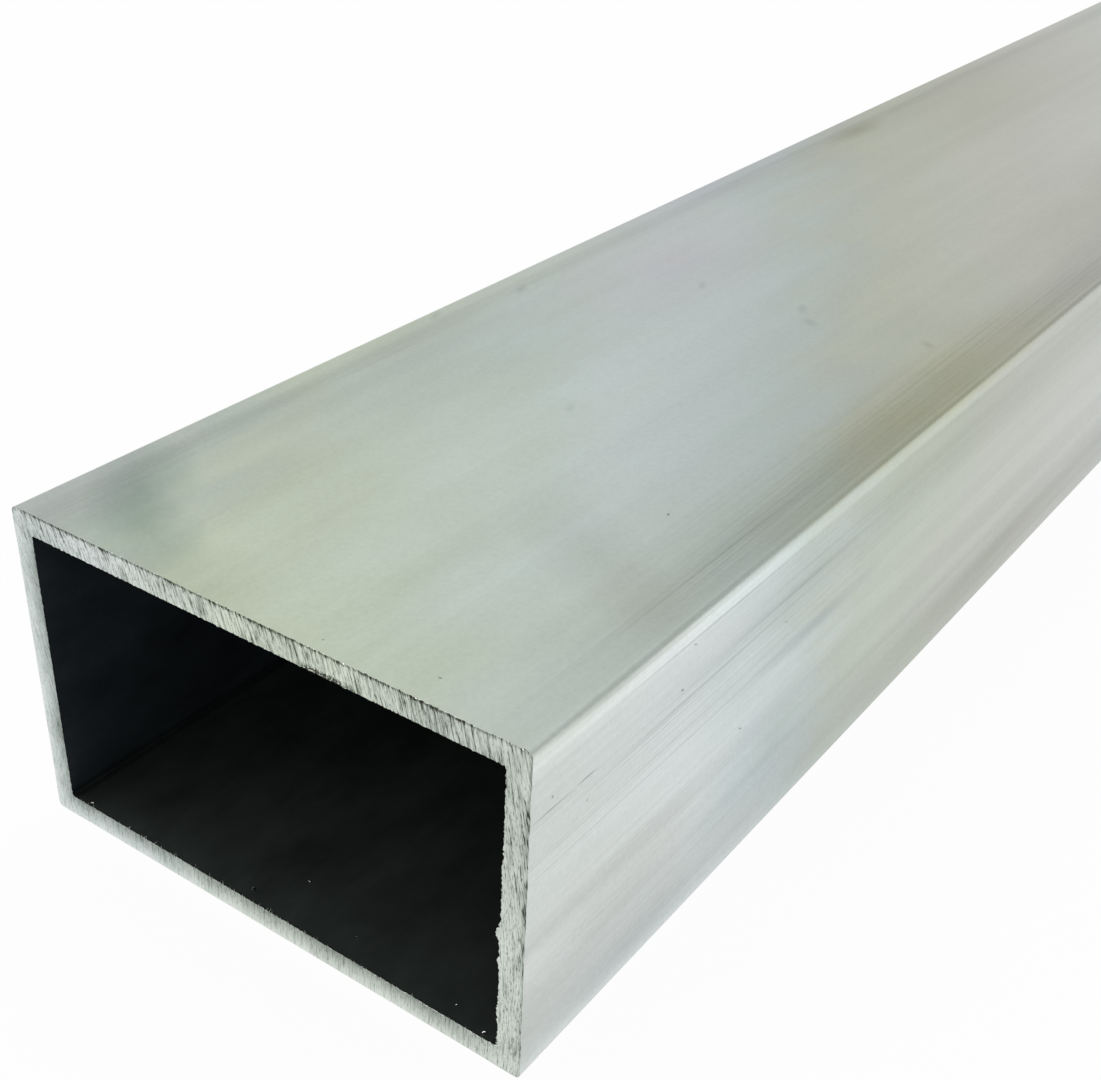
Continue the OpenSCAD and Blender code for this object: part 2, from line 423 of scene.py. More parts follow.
def sliver_tree(bright):
    """Slivers of torn metal that stand along an edge of both sawn ends, at random spots and angles."""
    tree, size = shape_tree("slivers along the sawn edges", OUTER_SLIVERS)
    edge = add(tree, "GeometryNodeCurvePrimitiveQuadrilateral", {
        "Width": size["Width"], "Height": size["Height"]})
    edge = add(tree, "GeometryNodeFilletCurve", {
        "Curve": edge, "Radius": size["Radius"], "Count": 6}, mode="POLY")
    edges = add(tree, "GeometryNodeJoinGeometry")
    for share in (-0.5, 0.5):
        end = add(tree, "ShaderNodeMath", {0: size["Length"], 1: share}, operation="MULTIPLY")
        shift = add(tree, "ShaderNodeCombineXYZ", {"X": end, "Z": size["Lift"]})
        stood_up = add(tree, "GeometryNodeTransform", {
            "Geometry": edge, "Translation": shift, "Rotation": (math.pi / 2, 0, math.pi / 2)})
        tree.links.new(stood_up.outputs["Geometry"], edges.inputs["Geometry"])
    spots = add(tree, "GeometryNodeCurveToPoints", {"Curve": edges, "Length": size["Spacing"]}, mode="LENGTH")

    # They stand on the level edges, and the shares say how thickly below and above
    middle = add(tree, "ShaderNodeCombineXYZ", {"Z": size["Lift"]})
    from_middle = add(tree, "ShaderNodeVectorMath", {
        0: add(tree, "GeometryNodeInputPosition"), 1: middle}, operation="SUBTRACT")
    height = add(tree, "ShaderNodeSeparateXYZ", {0: from_middle}).outputs["Z"]
    low = add(tree, "ShaderNodeMath", {0: size["Height"], 1: -0.49}, operation="MULTIPLY")
    high = add(tree, "ShaderNodeMath", {0: size["Height"], 1: 0.49}, operation="MULTIPLY")
    is_low = add(tree, "ShaderNodeMath", {0: height, 1: low}, operation="LESS_THAN")
    is_high = add(tree, "ShaderNodeMath", {0: height, 1: high}, operation="GREATER_THAN")
    density = add(tree, "ShaderNodeMath", {0: is_low, 1: size["Share Below"]}, operation="MULTIPLY")
    density = add(tree, "ShaderNodeMath", {
        0: is_high, 1: size["Share Above"], 2: density}, operation="MULTIPLY_ADD")
    luck = add(tree, "FunctionNodeRandomValue", {"Seed": 3}, data_type="FLOAT")
    kept = add(tree, "ShaderNodeMath", {0: luck, 1: density}, operation="LESS_THAN")

    # Each leans along the edge and away from the wall in its own direction
    across = add(tree, "ShaderNodeVectorMath", {0: from_middle, 1: (0, 1, 1)}, operation="MULTIPLY")
    across = add(tree, "ShaderNodeVectorMath", {0: across}, operation="NORMALIZE")
    scatter = add(tree, "FunctionNodeRandomValue", {
        0: (-0.6, -0.8, -0.6), 1: (0.6, 0.8, 0.6), "Seed": 5}, data_type="FLOAT_VECTOR")
    lean = add(tree, "ShaderNodeVectorMath", {
        0: across, 1: size["Outward"], 2: scatter}, operation="MULTIPLY_ADD")
    lean = add(tree, "ShaderNodeVectorMath", {
        0: spots.outputs["Tangent"], 1: size["Along Edge"], 2: lean}, operation="MULTIPLY_ADD")
    turn = add(tree, "FunctionNodeAlignRotationToVector", {"Vector": lean}, axis="Z")
    stretch = add(tree, "FunctionNodeRandomValue", {2: 0.3, 3: 1, "Seed": 8}, data_type="FLOAT")
    reach = add(tree, "ShaderNodeMath", {0: size["Reach"], 1: stretch}, operation="MULTIPLY")
    thin = add(tree, "ShaderNodeMath", {0: size["Girth"], 1: 0.5}, operation="MULTIPLY")
    scale = add(tree, "ShaderNodeCombineXYZ", {"X": size["Girth"], "Y": thin, "Z": reach})
    sliver = add(tree, "GeometryNodeMeshCone", {
        "Vertices": 5, "Radius Top": 0, "Radius Bottom": 0.5, "Depth": 1})
    slivers = add(tree, "GeometryNodeInstanceOnPoints", {
        "Points": spots, "Selection": kept, "Instance": sliver, "Rotation": turn, "Scale": scale})
    slivers = add(tree, "GeometryNodeRealizeInstances", {"Geometry": slivers})
    slivers = add(tree, "GeometryNodeSetMaterial", {"Geometry": slivers, "Material": bright})
    add(tree, "NodeGroupOutput", {"Geometry": slivers})
    return tree


SWARF_SIZES = {
    "Curl Radius": 0.2 * MM,
    "Curl Height": 0.12 * MM,
    "Curl Thickness": 0.075 * MM,
}
# Where curls lie on the floor of the bore, along from the mouth and across, in mm
NEAR_SWARF = ((0.2, 20.8), (1.3, -18.1), (1.1, 2.7), (2.2, -7.5), (0.35, -21.4), (4.6, -0.4))
FAR_SWARF = ((0.8, -16.2), (1.3, 5.1), (0.6, 18.8), (3.4, -3.6), (6.2, 11.5))


def swarf_tree(bright):
    """A small curl of swarf at each point, turned and sized at random."""
    tree, size = shape_tree("curls of swarf", SWARF_SIZES)
    tight = add(tree, "ShaderNodeMath", {0: size["Curl Radius"], 1: 0.6}, operation="MULTIPLY")
    curl = add(tree, "GeometryNodeCurveSpiral", {
        "Resolution": 9, "Rotations": 0.35, "Start Radius": tight, "End Radius": size["Curl Radius"],
        "Height": size["Curl Height"]})
    shaving = add(tree, "GeometryNodeCurvePrimitiveCircle", {
        "Resolution": 4, "Radius": size["Curl Thickness"]})
    curl = add(tree, "GeometryNodeCurveToMesh", {"Curve": curl, "Profile Curve": shaving, "Fill Caps": True})
    turn = add(tree, "FunctionNodeRandomValue", {
        0: (-0.3, -0.3, 0), 1: (0.3, 0.3, 2 * math.pi), "Seed": 2}, data_type="FLOAT_VECTOR")
    growth = add(tree, "FunctionNodeRandomValue", {2: 0.5, 3: 1.2, "Seed": 4}, data_type="FLOAT")
    curls = add(tree, "GeometryNodeInstanceOnPoints", {
        "Points": size["Points"], "Instance": curl, "Rotation": turn, "Scale": growth})
    curls = add(tree, "GeometryNodeRealizeInstances", {"Geometry": curls})
    curls = add(tree, "GeometryNodeSetMaterial", {"Geometry": curls, "Material": bright})
    add(tree, "NodeGroupOutput", {"Geometry": curls})
    return tree


# Marks on the skin, mostly smudges, scratches and specks of dirt, with painted reflection and painted shade
# among them: the middle and the reach of each, along, across and up in mm from the near end, its tilt in
# degrees, and its tint
SMUDGES_AND_PAINTED_LIGHT = (
    # Painted reflection: a dark bluish patch on the top near its left corner
    ((9, 20, 30), (9, 5, 4), 44, "#d6dddb"),
    ((4.2, 14.6, 30), (9, 4.5, 4), 66, "#dee5e3"),
    ((2, 19, 30), (8, 8, 4), 0, "#f2f3f4"),
    ((0, 7, 30), (7, 9, 4), 0, "#f4f4f0"),
    ((0, -8, 30), (14, 14, 4), 0, "#fbfbf3"),
    ((42, 19, 30), (38, 9, 4), 0, "#f6f6ff"),
    ((20, -21, 30), (40, 12, 1.2), 0, "#fffff6"),
    ((45, 12.5, 30), (45, 12, 4), 0, "#f2f3f5"),
    ((22, -15, 30), (14, 5, 4), 60, "#f3f2f1"),
    # Painted reflection: a straw tint on the painted dark band and on the painted highlight at its corner
    ((66, -22.5, 30), (36, 6, 1.2), 0, "#fffae4"),
    ((80, 14, 30), (22, 10, 4), 0, "#fff4fa"),
    ((100, 25, 30), (60, 5, 4), 0, "#f9f2f9"),
    ((139, 21, 30), (9, 2.2, 4), 0, "#e0e0cc"),
    ((170, 15, 30), (60, 16, 4), 0, "#eeeee6"),
    ((150, -15, 30), (60, 8, 4), 0, "#f0f0ea"),
    # Painted shade on the narrow side: darker low down, and darker high up further along, which dims the
    # painted highlight below the corner
    ((86, -25, 4.2), (30, 4, 3.4), 0, "#ecece4"),
    ((60, -25, 26), (36, 4, 8), 0, "#f2f3ee"),
    ((105, -25, 27), (45, 4, 8), 0, "#eff0ec"),
    ((36, -25, 8), (15, 4, 8), 0, "#eef2f4"),
    ((10, -25, 9), (22, 4, 9), 0, "#f6f5f5"),
    ((14, -25, 2.5), (12, 4, 3), 0, "#f0f0f1"),
)
SCRATCHES_AND_PAINTED_SHADE = (
    ((42.2, 1.6, 30), (1.4, 0.6, 1), 25, "#eef0ee"),
    ((50.6, 23.8, 30), (1.6, 0.6, 1), 25, "#ebede8"),
    ((62, 21.6, 30), (1.8, 0.7, 1), 25, "#eaecea"),
    ((75.6, 7.9, 30), (1.5, 0.5, 1), 25, "#e8eae9"),
    ((76.7, -3.4, 30), (1.6, 0.7, 1), 25, "#e7e9e8"),
    ((74, -5.7, 30), (1.4, 0.9, 1), 60, "#e8eaea"),
    ((76.7, -17.3, 30), (1.2, 0.7, 1), 60, "#e6e8de"),
    ((41, -25, 18.5), (15, 4, 1.1), 0, "#dce0e2"),
    ((31.4, -15.4, 30), (0.28, 0.14, 0.2), 25, "#4a4e48"),
    ((2.8, -15.3, 30), (0.14, 0.2, 0.2), 0, "#6a6e68"),
    ((1.3, -6.2, 30), (0.12, 0.12, 0.2), 0, "#7a7e78"),
    ((2.5, -25, 24.9), (0.16, 0.2, 0.16), 0, "#6a6e68"),
    ((18.9, -25, 24.2), (0.3, 0.2, 0.14), 20, "#5a5e58"),
    ((29.3, -25, 14.5), (0.5, 0.2, 0.14), 30, "#9ca09a"),
    ((35.4, -25, 21.7), (0.6, 0.2, 0.12), 30, "#d0d4ce"),
    ((20.1, -25, 27.6), (0.5, 0.2, 0.12), 30, "#c0c4be"),
    ((6.8, -25, 21.8), (0.16, 0.2, 0.16), 0, "#b0b4ae"),
    ((2.5, -25, 23.9), (3, 0.5, 0.1), 0, "#b6b9b6"),
    ((6.6, -25, 23.95), (1.5, 0.5, 0.1), 0, "#a0a3a0"),
    ((20, -25, 22.85), (14, 0.5, 0.12), 0, "#dfe2df"),
    ((38, -25, 24.2), (17, 0.5, 0.4), 0, "#e8ebeb"),
    # Painted shade: a thin dark line under the painted highlight below the corner, and a darker rounding near
    # the mouth that thins that highlight
    ((26, -25, 28.15), (20, 0.5, 0.2), 0, "#e8ebe9"),
    ((9, -25, 29.55), (11, 0.8, 0.35), 0, "#dfe3e2"),
)


def mill_finish_aluminium():
    """Extruded aluminium as it leaves the die: satin grey and softly clouded, with die lines that gather
    beside the corners in bands of painted reflection, painted highlight and painted shade, and tints that go
    from green through blue to straw along the tube, which are painted reflections of the room."""
    material, tree = new_material("mill finish aluminium")
    coordinates = add(tree, "ShaderNodeTexCoord").outputs
    place = coordinates["Object"]
    xyz = add(tree, "ShaderNodeSeparateXYZ", {0: place}).outputs
    facing = add(tree, "ShaderNodeSeparateXYZ", {0: coordinates["Normal"]}).outputs
    on_wide_face = add(tree, "ShaderNodeMath", {0: facing["Z"]}, operation="ABSOLUTE")

    # Unevenness from -1 to 1, each kind by its size along, across and up in mm. Real die lines are some
    # hundredths of a millimetre wide and are drawn coarser to show.
    uneven = {}
    for kind, size, detail in (
            ("lines", (30, 0.2, 0.2), 3), ("deep lines", (45, 0.3, 0.3), 1),
            ("streaks", (110, 2.2, 2.2), 1), ("clouds", (18, 7, 7), 3),
            ("grain", (0.4, 0.35, 0.35), 2), ("patches", (60, 5, 5), 2)):
        spot = add(tree, "ShaderNodeVectorMath", {
            0: place, 1: [1 / (side * MM) for side in size]}, operation="MULTIPLY")
        noise = add(tree, "ShaderNodeTexNoise", {"Vector": spot, "Scale": 1, "Detail": detail})
        uneven[kind] = add(tree, "ShaderNodeMapRange", {
            "Value": noise, "From Min": 0.3, "From Max": 0.7, "To Min": -1, "To Max": 1})

    # Bands beside the corners, all painted reflection and shade: dark on the right of the wide faces, thin on
    # their left, a painted highlight and then darker below the top of the narrow faces, and painted shade low
    # down on them. The dark band comes and goes along the tube.
    from_side = add(tree, "ShaderNodeMath", {0: xyz["Y"]}, operation="ABSOLUTE")
    from_side = add(tree, "ShaderNodeMapRange", {
        "Value": from_side, "From Min": WIDTH / 2, "From Max": WIDTH / 2 - EDGE_BAND})
    right_painted_band = add(tree, "ShaderNodeValToRGB", {"Fac": from_side}, stops=grey_stops((
        (0, 0.95), (0.5, 0.86), (1, 0.78), (3.5, 0.75), (5, 0.84),
        (6, 0.91), (7, 0.94), (9, 0.96), (12, 0.98), (16, 1)), EDGE_BAND / MM))
    left_painted_band = add(tree, "ShaderNodeValToRGB", {"Fac": from_side}, stops=grey_stops((
        (0, 0.96), (1.5, 0.97), (2.2, 0.89), (3, 0.86), (5, 0.94), (8, 0.98), (12, 1)), EDGE_BAND / MM))
    from_end = add(tree, "ShaderNodeMapRange", {
        "Value": xyz["X"], "From Min": tube_low.x, "From Max": tube_high.x})
    right_share = add(tree, "ShaderNodeValToRGB", {"Fac": from_end}, stops=grey_stops((
        (0, 0.15), (0.012, 0.4), (0.025, 0.85), (0.035, 1), (0.06, 0.9),
        (0.1, 0.75), (0.3, 0.8), (0.6, 0.5), (1, 1))))
    right_painted_band = add(tree, "ShaderNodeMix", {
        "Factor": right_share, 6: grey(1), 7: right_painted_band}, data_type="RGBA")
    on_left = add(tree, "ShaderNodeMapRange", {
        "Value": xyz["Y"], "From Min": -WIDTH / 8, "From Max": WIDTH / 8})
    wide_painted_band = add(tree, "ShaderNodeMix", {"Factor": on_left, 6: right_painted_band, 7: left_painted_band}, data_type="RGBA")
    below_top = add(tree, "ShaderNodeMapRange", {"Value": xyz["Z"], "From Min": HEIGHT, "From Max": 0})
    # Painted highlight just below the top of the narrow faces, with painted shade below it and low down
    narrow_painted_band = add(tree, "ShaderNodeValToRGB", {"Fac": below_top}, stops=grey_stops((
        (0, 0.97), (0.8, 1.05), (1.2, 1.09), (1.5, 1.07), (1.9, 0.91), (2.6, 0.89), (4, 0.87), (6, 0.85),
        (9, 0.9), (14, 0.91), (20, 0.87), (24, 0.75), (26, 0.71), (27.5, 0.74), (28.8, 0.83), (30, 0.86)),
        HEIGHT / MM))
    narrow_share = add(tree, "ShaderNodeValToRGB", {"Fac": from_end}, stops=grey_stops((
        (0, 0.5), (0.02, 1), (0.055, 1), (0.1, 0.6), (0.3, 0.9), (1, 0.7))))
    low_share = add(tree, "ShaderNodeMapRange", {
        "Value": below_top, "From Min": 14 * MM / HEIGHT, "From Max": 22 * MM / HEIGHT})
    narrow_share = add(tree, "ShaderNodeMath", {0: narrow_share, 1: low_share}, operation="MAXIMUM")
    narrow_painted_band = add(tree, "ShaderNodeMix", {
        "Factor": narrow_share, 6: grey(0.9), 7: narrow_painted_band}, data_type="RGBA")
    painted_bands = add(tree, "ShaderNodeMix", {
        "Factor": on_wide_face, 6: narrow_painted_band, 7: wide_painted_band}, data_type="RGBA")

    # Lines show most high on the narrow faces and in the painted dark band, and come and go in patches
    narrow_lines = add(tree, "ShaderNodeMapRange", {
        "Value": xyz["Z"], "From Min": 12 * MM, "From Max": 22 * MM, "To Min": 0.05, "To Max": 0.11})
    line_share = add(tree, "ShaderNodeValToRGB", {"Fac": from_end}, stops=grey_stops((
        (0, 0.55), (0.008, 0.75), (0.018, 1.1), (0.04, 1.1), (0.07, 0.45),
        (0.12, 0.4), (0.3, 1), (0.5, 0.5), (0.75, 1), (1, 0.7))))
    narrow_lines = add(tree, "ShaderNodeMath", {0: narrow_lines, 1: line_share}, operation="MULTIPLY")
    wide_lines = add(tree, "ShaderNodeMapRange", {
        "Value": wide_painted_band, "From Min": 0.75, "From Max": 0.97, "To Min": 0.16, "To Max": 0.012})
    line_strength = add(tree, "ShaderNodeMix", {"Factor": on_wide_face, 2: narrow_lines, 3: wide_lines})
    patchy = add(tree, "ShaderNodeMath", {0: uneven["patches"], 1: 0.5, 2: 1}, operation="MULTIPLY_ADD")
    line_strength = add(tree, "ShaderNodeMath", {0: line_strength, 1: patchy}, operation="MULTIPLY")
    deep = add(tree, "ShaderNodeMapRange", {
        "Value": uneven["deep lines"], "From Min": 0.3, "From Max": 0.9, "To Min": 0, "To Max": -0.9})
    lines = add(tree, "ShaderNodeMath", {0: uneven["lines"], 1: 0.6, 2: deep}, operation="MULTIPLY_ADD")
    shade = add(tree, "ShaderNodeMath", {0: lines, 1: line_strength, 2: 1}, operation="MULTIPLY_ADD")
    for kind, high, low, on_wide in (
            ("streaks", 0.036, 0.08, 0.022), ("clouds", 0.042, 0.07, 0.042), ("grain", 0.032, 0.042, 0.032)):
        on_narrow = add(tree, "ShaderNodeMix", {"Factor": low_share, 2: high, 3: low})
        strength = add(tree, "ShaderNodeMix", {"Factor": on_wide_face, 2: on_narrow, 3: on_wide})
        shade = add(tree, "ShaderNodeMath", {
            0: uneven[kind], 1: strength, 2: shade}, operation="MULTIPLY_ADD")

    # Tints change along the tube, on a slant across the wide faces: a painted reflection of the room
    slant = add(tree, "ShaderNodeMath", {0: xyz["Y"], 1: -TINT_SLANT, 2: xyz["X"]}, operation="MULTIPLY_ADD")
    slant = add(tree, "ShaderNodeMath", {0: uneven["clouds"], 1: 9 * MM, 2: slant}, operation="MULTIPLY_ADD")
    along = add(tree, "ShaderNodeMapRange", {
        "Value": slant, "From Min": tube_low.x + TINT_START * MM, "From Max": tube_low.x + TINT_END * MM})
    narrow_tint, wide_tint = [
        add(tree, "ShaderNodeValToRGB", {"Fac": along}, stops=[
            ((reach - TINT_START) / (TINT_END - TINT_START), linear(tint)) for reach, tint in tints])
        for tints in (NARROW_TINTS_AND_REFLECTIONS, WIDE_TINTS_AND_REFLECTIONS)]
    tint = add(tree, "ShaderNodeMix", {
        "Factor": on_wide_face, 6: narrow_tint, 7: wide_tint}, data_type="RGBA")
    shade = add(tree, "ShaderNodeMath", {0: shade, 1: painted_bands}, operation="MULTIPLY")
    colour = add(tree, "ShaderNodeVectorMath", {0: tint, "Scale": shade}, operation="SCALE")

    # Smudges and the broad painted reflection and shade have wandering outlines; scratches, specks of dirt
    # and thin lines of painted shade keep theirs
    drift = add(tree, "ShaderNodeTexNoise", {"Vector": place, "Scale": 1 / (9 * MM), "Detail": 3})
    drift = add(tree, "ShaderNodeVectorMath", {
        0: drift.outputs["Color"], 1: (0.5, 0.5, 0.5)}, operation="SUBTRACT")
    wandering = add(tree, "ShaderNodeVectorMath", {
        0: drift, 1: (4 * MM, 2.5 * MM, 2.5 * MM), 2: place}, operation="MULTIPLY_ADD")
    for marks, ground in ((SMUDGES_AND_PAINTED_LIGHT, wandering), (SCRATCHES_AND_PAINTED_SHADE, place)):
        for middle, reach, tilt, mark_tint in marks:
            on_top = middle[2] * MM >= HEIGHT
            turn = (0, 0, math.radians(tilt)) if on_top else (0, math.radians(tilt), 0)
            spot = add(tree, "ShaderNodeMapping", {
                "Vector": ground, "Location": NEAR_END + Vector(middle) * MM,
                "Rotation": turn, "Scale": Vector(reach) * MM}, vector_type="TEXTURE")
            mark = add(tree, "ShaderNodeTexGradient", {"Vector": spot}, gradient_type="SPHERICAL")
            colour = add(tree, "ShaderNodeMix", {
                "Factor": mark.outputs["Fac"], 6: colour, 7: linear(mark_tint)},
                data_type="RGBA", blend_type="MULTIPLY")

    roughness = add(tree, "ShaderNodeMapRange", {
        "Value": uneven["clouds"], "From Min": -1, "From Max": 1, "To Min": 0.29, "To Max": 0.38})
    bump = add(tree, "ShaderNodeBump", {"Height": uneven["lines"], "Strength": 0.25, "Distance": 0.01 * MM})
    metal = add(tree, "ShaderNodeBsdfPrincipled", {
        "Base Color": colour.outputs[2], "Metallic": 1, "Roughness": roughness, "Normal": bump})
    add(tree, "ShaderNodeOutputMaterial", {"Surface": metal})
    return material


# Marks on a sawn end, where the scores' darkness is painted shade in the saw's grooves, and the edge line's
# and the nicks' is painted shadow along the outer edge: spacing and length in mm, the noise levels where a
# mark starts and where it is full, how closely it keeps to the outer edge, and how dark it gets on the clean
# walls, the right and the top wall
SAW_MARKS_AND_PAINTED_SHADE = {
    "scores": (SAW_SPACING / MM, SAW_STROKE / MM, 0.48, 0.75, 0, 0.2, 0.22, 0.45),
    "scratches": (0.12, 2.4, 0.52, 0.68, 0, 0.22, 0.34, 0.5),
    "specks": (0.1, 0.5, 0.53, 0.66, 0, 0.2, 0.42, 0.35),
    "edge line": (0.25, 2, 0.2, 0.4, 2.2, 0, 0.2, 0.42),
    "nicks": (0.3, 2.5, 0.54, 0.64, 0.22, 0, 0.5, 0.5),
}


def saw_cut_aluminium():
    """Freshly sawn aluminium: bright metal scored along the saw's stroke. The left and bottom walls are cut
    clean and darker towards the bore. The other two are torn, with scores darkened by painted shade and a
    nicked outer edge darkened by painted shadow."""
    material, tree = new_material("saw cut aluminium")
    place = add(tree, "ShaderNodeTexCoord").outputs["Object"]
    xyz = add(tree, "ShaderNodeSeparateXYZ", {0: place}).outputs
    stroke_place = along_saw_marks(tree, place)
    torn = torn_share(tree, place)

    # The torn walls are marked less near the top right corner, and the top wall most
    off_corner = add(tree, "ShaderNodeVectorMath", {
        0: place, 1: (tube_low.x, -WIDTH / 2, HEIGHT)}, operation="DISTANCE").outputs["Value"]
    worn = add(tree, "ShaderNodeMapRange", {
        "Value": off_corner, "From Min": 2 * MM, "From Max": 6 * MM, "To Min": 0.55, "To Max": 1})
    rough_cut = add(tree, "ShaderNodeMapRange", {
        "Value": torn, "From Min": 0.05, "From Max": 0.3, "To Min": 0, "To Max": worn})
    on_top = add(tree, "ShaderNodeMapRange", {
        "Value": xyz["Z"], "From Min": HEIGHT - 3 * WALL, "From Max": HEIGHT - WALL})
    wall_depth = add(tree, "ShaderNodeAttribute", attribute_name="wall_depth").outputs["Fac"]
    # Painted shade in the scores and painted shadow along the outer edge and its nicks, with dark scratches
    # and specks
    dark = 0
    for spacing, length, low, high, keep_out, on_clean, on_right, on_torn_top in SAW_MARKS_AND_PAINTED_SHADE.values():
        mark_place = add(tree, "ShaderNodeVectorMath", {
            0: stroke_place, 1: (1 / SAW_SHIFT, 1 / (spacing * MM), 1 / (length * MM))}, operation="MULTIPLY")
        noise = add(tree, "ShaderNodeTexNoise", {
            "Vector": mark_place, "Scale": 1, "Detail": 2, "Roughness": 0.6})
        kept = add(tree, "ShaderNodeMath", {0: wall_depth, 1: -keep_out, 2: noise}, operation="MULTIPLY_ADD")
        marks = add(tree, "ShaderNodeMapRange", {"Value": kept, "From Min": low, "From Max": high})
        on_torn = add(tree, "ShaderNodeMix", {"Factor": on_top, 2: on_right, 3: on_torn_top})
        strength = add(tree, "ShaderNodeMix", {"Factor": rough_cut, 2: on_clean, 3: on_torn})
        dark = add(tree, "ShaderNodeMath", {0: marks, 1: strength, 2: dark}, operation="MULTIPLY_ADD")

    # One stretch of the top wall broke out along the bore, and is dark with crumbs
    off_torn = add(tree, "ShaderNodeMath", {0: xyz["Y"], 1: TORN_MIDDLE}, operation="SUBTRACT")
    off_torn = add(tree, "ShaderNodeMath", {0: off_torn}, operation="ABSOLUTE")
    broken = add(tree, "ShaderNodeMapRange", {
        "Value": off_torn, "From Min": TORN_REACH, "From Max": TORN_REACH / 3})
    broken = add(tree, "ShaderNodeMapRange", {
        "Value": wall_depth, "From Min": 0.75, "From Max": 0.92, "To Min": 0, "To Max": broken})
    broken = add(tree, "ShaderNodeMapRange", {
        "Value": xyz["Z"], "From Min": HEIGHT / 2, "From Max": HEIGHT - WALL, "To Min": 0, "To Max": broken})
    crumbs = add(tree, "ShaderNodeTexNoise", {"Vector": place, "Scale": 1 / (0.16 * MM), "Detail": 2})
    crumbs = add(tree, "ShaderNodeMapRange", {
        "Value": crumbs, "From Min": 0.4, "From Max": 0.5, "To Min": 0, "To Max": broken})
    dark = add(tree, "ShaderNodeMath", {0: dark, 1: crumbs}, operation="ADD")

    # Darker: towards the bore where the cut is clean, to the right and at the top right corner where it is
    # torn, and in patches
    clean_darkening = add(tree, "ShaderNodeMapRange", {"Value": wall_depth, "To Min": 0.14, "To Max": 0.62})
    torn_darkening = add(tree, "ShaderNodeMapRange", {
        "Value": xyz["Y"], "From Min": WIDTH / 4, "From Max": -WIDTH / 2, "To Min": 0.23, "To Max": 0.3})
    corner_darkening = add(tree, "ShaderNodeMapRange", {
        "Value": off_corner, "From Min": 3 * MM, "From Max": 12 * MM, "To Min": 0.06, "To Max": 0})
    torn_darkening = add(tree, "ShaderNodeMath", {0: torn_darkening, 1: corner_darkening}, operation="ADD")
    darkening = add(tree, "ShaderNodeMix", {"Factor": rough_cut, 2: clean_darkening, 3: torn_darkening})
    patches = add(tree, "ShaderNodeTexNoise", {"Vector": place, "Scale": 1 / (5 * MM), "Detail": 3})
    patches = add(tree, "ShaderNodeMapRange", {"Value": patches, "To Min": -0.25, "To Max": 0.25})
    dark = add(tree, "ShaderNodeMath", {0: dark, 1: darkening}, operation="ADD")
    dark = add(tree, "ShaderNodeMath", {0: dark, 1: patches}, operation="ADD")
    colour = add(tree, "ShaderNodeValToRGB", {"Fac": dark}, stops=[
        (0.0, linear("#edf2f1")), (0.3, linear("#d2dad8")), (0.6, linear("#a6afab")),
        (0.85, linear("#717a72")), (1.0, linear("#3c3b34"))])

    # A faint straw tint on the right half, less so at the corner and below it
    to_right = add(tree, "ShaderNodeMapRange", {"Value": xyz["Y"], "From Min": 16 * MM, "From Max": 2 * MM})
    past_middle = add(tree, "ShaderNodeMapRange", {
        "Value": xyz["Y"], "From Min": -8 * MM, "From Max": -22 * MM, "To Min": 1, "To Max": 0.5})
    straw = add(tree, "ShaderNodeMapRange", {
        "Value": xyz["Z"], "From Min": HEIGHT - 3 * WALL, "From Max": HEIGHT - WALL,
        "To Min": 0.5, "To Max": past_middle})
    straw = add(tree, "ShaderNodeMath", {0: straw, 1: to_right}, operation="MULTIPLY")
    colour = add(tree, "ShaderNodeMix", {
        "Factor": straw, 6: colour, 7: linear("#fffff1")}, data_type="RGBA", blend_type="MULTIPLY")
    bump = add(tree, "ShaderNodeBump", {"Height": dark, "Strength": 0.7, "Distance": 0.03 * MM}, invert=True)
    metal = add(tree, "ShaderNodeBsdfPrincipled", {
        "Base Color": colour.outputs[2], "Metallic": 1, "Roughness": 0.45, "Normal": bump})
    add(tree, "ShaderNodeOutputMaterial", {"Surface": metal})
    return material


def bright_burr_aluminium():
    """Slivers and shavings that the saw has just turned up: bright metal with painted glints, small bright
    patches in its colour with grey between them.
    """
    material, tree = new_material("bright burr aluminium")
    place = add(tree, "ShaderNodeTexCoord").outputs["Object"]
    # Painted glints: bright patches that stand in for facets catching the light
    painted_glints = add(tree, "ShaderNodeTexNoise", {"Vector": place, "Scale": 1 / (0.3 * MM), "Detail": 2})
    colour = add(tree, "ShaderNodeValToRGB", {"Fac": painted_glints}, stops=[
        (0.4, linear("#b4b8b3")), (0.5, linear("#fbfcfa"))])
    metal = add(tree, "ShaderNodeBsdfPrincipled", {"Base Color": colour, "Metallic": 1, "Roughness": 0.25})
    add(tree, "ShaderNodeOutputMaterial", {"Surface": metal})
    return material


